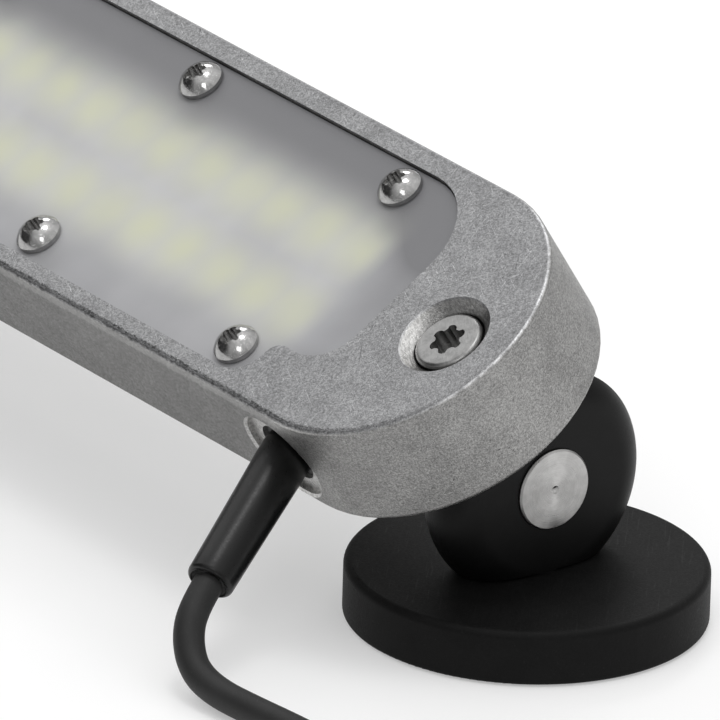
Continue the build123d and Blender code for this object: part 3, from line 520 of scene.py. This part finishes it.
def turned_cap(name, x):
    """Face turned on a lathe: fine rings round the pivot's axis."""
    look = Look(name, origin=(x, 0.0, HINGE_Z), Metallic=1.0, Anisotropic=0.9)
    ring = look.size(look.y, look.z)
    place = look.node("CombineXYZ", look.times(ring, 9.0), 0.0, 0.0).outputs[0]
    grooves = look.noise(1.0, 2.0, 0.6, place)
    patch = look.noise(0.9, 2.0, 0.5)
    value = look.add(look.ramp(grooves, 0.3, 0.7, 0.43, 0.53), look.ramp(patch, 0.3, 0.7, -0.04, 0.04))
    tangent = look.node("Tangent", direction_type="RADIAL", axis="X")
    look.feed(look.shader.inputs["Tangent"], tangent.outputs[0])
    rough = look.ramp(grooves, 0.3, 0.7, 0.26, 0.34)
    return look.finish(look.grey(value, (1.0, 0.99, 0.975)), rough, grooves, 0.002)


def moulded(
    name, value, rough, grain, depth, origin=(0.0, 0.0, 0.0),
    tint=(1.0, 1.0, 1.0), dust=0.0, scale=6.0, shine=0.5,
):
    """Moulded plastic or rubber: fine grain, faint clouding, rubbed marks and dust."""
    look = Look(name, origin=origin)
    look.shader.inputs["Specular IOR Level"].default_value = shine
    fine = look.noise(scale, 3.0, 0.6)
    cloud = look.noise(0.25, 3.0, 0.6, shift=7.0)
    marks = look.scratches(40.0, 0.64, 0.74, along=0.2, across=4.0)
    specks = look.ramp(look.noise(0.7, 1.0, shift=2.0), 0.5, 0.6)
    specks = look.times(look.ramp(look.cells(1.3), 0.16, 0.06), specks)
    shade = look.times(look.ramp(cloud, 0.3, 0.7, 0.85, 1.15), value)
    shade = look.times(shade, look.ramp(fine, 0.3, 0.7, 1.0 - grain, 1.0 + grain))
    shade = look.add(shade, look.times(specks, dust))
    shade = look.add(shade, look.times(marks, dust * 0.25))
    surface = look.add(look.ramp(fine, 0.3, 0.7, rough - 0.05, rough + 0.05), look.times(marks, -0.06))
    return look.finish(look.grey(shade, tint), surface, fine, depth)


def plated(name, value, rough, tint=(1.0, 1.0, 1.0), origin=(0.0, 0.0, 0.0)):
    """Plated or rolled metal with cloudy patches and rub marks."""
    look = Look(name, origin=origin, Metallic=1.0)
    patch = look.noise(0.8, 3.0, 0.6)
    lines = look.scratches(15.0, 0.6, 0.7, along=0.3, across=8.0)
    shade = look.add(look.ramp(patch, 0.3, 0.7, value - 0.07, value + 0.07), look.times(lines, 0.05))
    surface = look.add(look.ramp(patch, 0.3, 0.7, rough, rough + 0.1), look.times(lines, 0.06))
    return look.finish(look.grey(shade, tint), surface, lines, 0.004)


def circuit(name, base, line):
    """Solder mask over faint copper tracks, with round pads."""
    look = Look(name, bar=True, Roughness=0.4)
    tracks = look.ramp(look.cells(0.45, feature="DISTANCE_TO_EDGE"), 0.06, 0.03)
    pads = look.ramp(look.cells(0.6), 0.18, 0.14)
    cloud = look.noise(0.4, 2.0, 0.5)
    colour = look.mix(look.times(look.larger(tracks, pads), 0.6), base, line)
    colour = look.mix(look.ramp(cloud, 0.35, 0.7, 0.0, 0.2), colour, line)
    return look.finish(colour, look.ramp(cloud, 0.3, 0.7, 0.35, 0.5), look.larger(tracks, pads), 0.02)


def woven_tie():
    """Nylon strap with a cross-woven face."""
    look = Look("tie_nylon", origin=(COIL_CENTRE[0], COIL_CENTRE[1], 0.0))
    warp = look.math("SINE", look.times(look.y, 12.0))
    weft = look.math("SINE", look.times(look.add(look.x, look.z), 9.0))
    weave = look.times(warp, weft)
    fuzz = look.noise(8.0, 3.0, 0.7)
    shade = look.add(look.ramp(weave, -1.0, 1.0, 0.02, 0.05), look.ramp(fuzz, 0.3, 0.7, 0.0, 0.02))
    return look.finish(look.grey(shade), look.ramp(fuzz, 0.3, 0.7, 0.6, 0.8), weave, 0.08)


def led_phosphor():
    """Yellow phosphor windows in pale bodies."""
    look = Look("led_phosphor", bar=True, Roughness=0.35)
    along = look.math("WRAP", look.less(look.x, LED_FIRST_X), LED_PITCH / 2, -LED_PITCH / 2)
    across = look.less(look.math("ABSOLUTE", look.y), LED_ROW_Y)
    window = look.ramp(look.size(look.times(along, 0.8), across), 1.25, 1.05)
    grain = look.noise(6.0, 2.0, 0.6)
    colour = look.mix(window, (0.85, 0.85, 0.82), (0.85, 0.68, 0.12))
    colour = look.mix(look.ramp(grain, 0.4, 0.7, 0.0, 0.25), colour, (0.95, 0.88, 0.45))
    return look.finish(colour, look.ramp(grain, 0.3, 0.7, 0.3, 0.45), window, 0.05)


def dress(material, *names):
    """Give CAD nodes a material in place of their own."""
    for name in names:
        mesh = NODES[name].data
        mesh.materials.clear()
        mesh.materials.append(material)


CABLE_LOOK = moulded("cable_rubber", 0.016, 0.6, 0.12, 0.012, dust=0.012, shine=0.4)
BOOT_LOOK = moulded("boot_rubber", 0.004, 0.34, 0.10, 0.006, dust=0.006, scale=4.0, shine=0.34)
dress(cast_aluminium(), "housing")
dress(frosted_acrylic(), "diffuser")
dress(
    moulded("silicone", 0.55, 0.6, 0.05, 0.01, tint=(1.0, 1.0, 0.97)),
    "diffuser_gasket",
    "gland_seal",
    "thermal_pad",
)
dress(polished("screw_steel", (0, 0, 0), 0.41, 0.12), "diffuser_screws")
dress(circuit("board_white", (0.8, 0.8, 0.78), (0.62, 0.62, 0.58)), "led_board")
dress(led_phosphor(), "led_chips")
dress(circuit("board_green", (0.03, 0.2, 0.09), (0.08, 0.34, 0.16)), "driver_board")
dress(moulded("component_black", 0.035, 0.45, 0.15, 0.02), "driver_components")
dress(moulded("insulating_sheet", 0.6, 0.4, 0.05, 0.01, tint=(1.0, 0.93, 0.7)), "driver_sheet")
dress(moulded("wire_insulation", 0.4, 0.4, 0.08, 0.01, tint=(1.0, 0.09, 0.07)), "supply_wires", "led_leads")
dress(moulded("gland_nylon", 0.02, 0.45, 0.1, 0.02), "cable_gland")
dress(woven_tie(), "coil_tie")
dress(plated("nickel", 0.62, 0.2, (1.0, 0.97, 0.9)), "plug_barrel")
for letter, foot_x in (("a", 0.0), ("b", FOOT_B_X)):
    hinge = (foot_x, 0.0, HINGE_Z)
    dress(polished("clamp_steel_" + letter, (foot_x, 0, 0), 0.29, 0.32, 0.06), "clamp_screw_" + letter)
    dress(
        plated("spring_steel_" + letter, 0.4, 0.35, origin=hinge),
        "lock_washer_" + letter,
        "friction_washers_" + letter,
    )
    dress(
        plated("zinc_steel_" + letter, 0.55, 0.32, (0.98, 1.0, 1.02), hinge),
        "tilt_tongue_" + letter,
        "pivot_pin_" + letter,
        "magnet_screw_" + letter,
        "magnet_plate_" + letter,
    )
    dress(
        moulded(
            "black_nylon_" + letter, 0.004, 0.42, 0.08, 0.012, hinge,
            dust=0.004, scale=5.0, shine=0.17,
        ),
        "knuckle_shell_outer_" + letter,
        "knuckle_shell_inner_" + letter,
    )
    dress(
        turned_cap("turned_aluminium_" + letter, foot_x),
        "pivot_cap_outer_" + letter,
        "pivot_cap_inner_" + letter,
    )
    dress(moulded("ptfe_" + letter, 0.008, 0.5, 0.04, 0.01, hinge, shine=0.2), "swivel_washer_" + letter)
    dress(
        moulded(
            "magnet_rubber_" + letter, 0.005, 0.58, 0.22, 0.02, hinge,
            dust=0.006, scale=4.0, shine=0.12,
        ),
        "magnet_rubber_" + letter,
    )
    dress(plated("magnet_nickel_" + letter, 0.6, 0.22, (1.0, 0.97, 0.92), hinge), "magnet_discs_" + letter)
    dress(plated("brass_" + letter, 0.62, 0.25, (1.0, 0.78, 0.42), hinge), "magnet_bush_" + letter)
cord.data.materials.append(CABLE_LOOK)


# ------------------------------------------------------------------ detail pieces
def skin(name, rings, material, sides=64):
    """A closed smooth skin over rings; a ring is (centre, one axis, other axis, radius) in mm."""
    bm = bmesh.new()
    loops = []
    for centre, one, other, radius in rings:
        loop = []
        for i in range(sides):
            angle = 2 * math.pi * i / sides
            spot = centre + (one * math.cos(angle) + other * math.sin(angle)) * radius
            loop.append(bm.verts.new(spot * MM))
        loops.append(loop)
    for before, after in zip(loops, loops[1:]):
        for i in range(sides):
            j = (i + 1) % sides
            bm.faces.new((before[i], before[j], after[j], after[i]))
    bm.faces.new(reversed(loops[0]))
    bm.faces.new(loops[-1])
    bmesh.ops.recalc_face_normals(bm, faces=bm.faces)
    mesh = bpy.data.meshes.new(name)
    bm.to_mesh(mesh)
    bm.free()
    mesh.materials.append(material)
    for polygon in mesh.polygons:
        polygon.use_smooth = True
    piece = bpy.data.objects.new(name, mesh)
    bpy.context.scene.collection.objects.link(piece)
    return piece


def lip(radius, end, fillet, bore, sink, steps=5):
    """(distance, radius) of a rounded end that dips round the cable."""
    profile = []
    for i in range(steps + 1):
        angle = math.pi / 2 * i / steps
        distance = end - fillet + fillet * math.sin(angle)
        profile.append((distance, radius - fillet + fillet * math.cos(angle)))
    profile.append((end, (radius + bore) / 2 + 0.15))
    profile.append((end - 0.12, bore + 0.28))
    profile.append((end - sink, bore + 0.08))
    profile.append((end - sink, bore * 0.5))
    return profile


def make_boot():
    """Strain relief: root in the gland, an elbow, then the tapered sleeve."""
    upright = from_bar(0, 0, 1) - from_bar(0, 0, 0)
    outward = from_bar(0, -1, 0) - from_bar(0, 0, 0)
    rings = []
    root = [(BOOT_ROOT_DEPTH, 2.0)]
    root += [(depth, BOOT_RADIUS) for depth in (BOOT_ROOT_DEPTH - 0.1, 4.0, 2.0, 1.0)]
    for depth, radius in root:
        rings.append((BOOT_MOUTH - outward * depth, upright, outward.cross(upright), radius))
    for i in range(7):
        part = i / 6
        direction = outward.lerp(BOOT_AXIS, part).normalized()
        place = BOOT_MOUTH - outward * BOOT_ELBOW * (1 - part) ** 2 + BOOT_AXIS * BOOT_ELBOW * part**2
        rings.append((place, upright, direction.cross(upright), BOOT_RADIUS))
    profile = [(1.4, BOOT_RADIUS), (3.0, 3.185), (6.0, 3.13), (10.0, 3.06), (14.0, 2.99), (18.0, 2.93)]
    profile += lip(2.9, BOOT_LENGTH, 0.55, CABLE_DIAMETER / 2, 0.8)
    for distance, radius in profile:
        rings.append((BOOT_MOUTH + BOOT_AXIS * distance, upright, BOOT_AXIS.cross(upright), radius))
    return skin("boot", rings, BOOT_LOOK)


def make_plug():
    """Moulded plug: slotted relief, ribbed grip and a stepped nose, along -X."""
    profile = [(0.0, 1.9), (0.0, 2.2), (0.3, 2.35)]
    for i in range(5):
        start = 1.4 + 2.1 * i
        radius = 2.4 + 0.085 * start
        profile += [(start, radius), (start + 0.15, radius - 0.5)]
        profile += [(start + 0.75, radius - 0.5), (start + 0.9, radius + 0.05)]
    profile += [(12.6, 3.5), (13.0, 3.55), (13.1, 4.2), (13.5, 4.6), (14.2, PLUG_RADIUS)]
    for i in range(8):
        start = 16.0 + 1.7 * i
        profile += [(start, PLUG_RADIUS), (start + 0.2, 4.4)]
        profile += [(start + 0.7, 4.4), (start + 0.9, PLUG_RADIUS)]
    profile += [(31.6, PLUG_RADIUS), (32.3, 4.62), (32.8, 4.3), (33.0, 3.9), (33.0, 2.5)]
    rings = []
    for distance, radius in profile:
        centre = Vector((PLUG_REAR_X - distance, PLUG_AXIS_Y, PLUG_AXIS_Z))
        rings.append((centre, Vector((0, 1, 0)), Vector((0, 0, 1)), radius))
    return skin("plug_grip", rings, moulded("plug_rubber", 0.022, 0.5, 0.1, 0.02, dust=0.01), 56)


boot = make_boot()
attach(boot, "bar")
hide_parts("cable_boot")
plug = make_plug()
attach(plug, "bar")
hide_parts("plug_body")


# ------------------------------------------------------------------ floor and light
FLOOR_HALF_SIZE = 15.0       # metres
FLOOR_GLOW = 0.36
DOME_HORIZON = 0.42
DOME_TOP = 0.8
FLAG_DIRECTION = (-0.75, -0.62, 0.12)
LIGHTS = (
    # name, direction from the feet, distance and size in metres, radiance
    ("overhead", (-0.76, -0.1, 0.62), 0.46, 0.3, 0.86),
    ("back", (-0.57, 0.45, 0.68), 1.2, 0.28, 6.0),
    ("front", (0.75, -0.9, 0.9), 1.4, 0.34, 4.0),
    ("top", (0.0, 0.0, 1.0), 0.9, 0.22, 7.0),
)


def make_floor():
    """A light table: pale, with a little glow of its own to keep the shadows soft."""
    mesh = bpy.data.meshes.new("floor")
    turn = ((-1, -1), (1, -1), (1, 1), (-1, 1))
    corners = [(x * FLOOR_HALF_SIZE, y * FLOOR_HALF_SIZE, 0) for x, y in turn]
    mesh.from_pydata(corners, [], [(0, 1, 2, 3)])
    look = Look("floor", Roughness=0.9)
    look.shader.inputs["Emission Color"].default_value = (1.0, 1.0, 1.0, 1.0)
    look.shader.inputs["Emission Strength"].default_value = FLOOR_GLOW
    mesh.materials.append(look.finish(look.grey(look.ramp(look.noise(0.02), 0.3, 0.7, 0.62, 0.64))))
    floor = bpy.data.objects.new("floor", mesh)
    floor.location.z = -0.0002
    bpy.context.scene.collection.objects.link(floor)


def make_light(name, direction, distance, size, radiance):
    """A square softbox that faces the feet from a direction; radiance sets its brightness."""
    data = bpy.data.lights.new(name, "AREA")
    data.shape = "SQUARE"
    data.size = size
    data.energy = radiance * math.pi * size * size
    light = bpy.data.objects.new(name, data)
    away = Vector(direction).normalized()
    light.location = away * distance
    light.rotation_mode = "QUATERNION"
    light.rotation_quaternion = away.to_track_quat("Z", "Y")
    bpy.context.scene.collection.objects.link(light)


def make_dome():
    """World light, brightest overhead, with a soft dark flag low at the front left."""
    world = bpy.data.worlds.new("studio")
    world.use_nodes = True
    tree = world.node_tree

    def step(operation, a, b):
        node = tree.nodes.new("ShaderNodeMath")
        node.operation = operation
        for socket, value in zip(node.inputs, (a, b)):
            if isinstance(value, bpy.types.NodeSocket):
                tree.links.new(value, socket)
            else:
                socket.default_value = value
        return node.outputs[0]

    place = tree.nodes.new("ShaderNodeTexCoord").outputs["Generated"]
    parts = tree.nodes.new("ShaderNodeSeparateXYZ")
    tree.links.new(place, parts.inputs[0])
    height = step("MAXIMUM", parts.outputs[2], 0.0)
    glow = step("ADD", DOME_HORIZON, step("MULTIPLY", step("MULTIPLY", height, height), DOME_TOP))
    towards = tree.nodes.new("ShaderNodeVectorMath")
    towards.operation = "DOT_PRODUCT"
    tree.links.new(place, towards.inputs[0])
    towards.inputs[1].default_value = Vector(FLAG_DIRECTION).normalized()
    flag = tree.nodes.new("ShaderNodeMapRange")
    flag.interpolation_type = "SMOOTHSTEP"
    tree.links.new(towards.outputs["Value"], flag.inputs[0])
    # by the cosine of the angle to the flag's middle: full light below 0.55, 0.12 of it past 0.9
    for socket, value in zip(list(flag.inputs)[1:5], (0.55, 0.9, 1.0, 0.12)):
        socket.default_value = value
    background = tree.nodes["Background"]
    background.inputs[0].default_value = (1.0, 1.0, 1.0, 1.0)
    tree.links.new(step("MULTIPLY", glow, flag.outputs[0]), background.inputs[1])
    bpy.context.scene.world = world


make_floor()
for settings in LIGHTS:
    make_light(*settings)
make_dome()
bpy.context.scene.view_settings.view_transform = "Standard"

# the curve's box is right only when its object is refreshed after its shape was worked out
bpy.context.view_layer.update()
cord.update_tag(refresh={"OBJECT"})
bpy.context.view_layer.update()
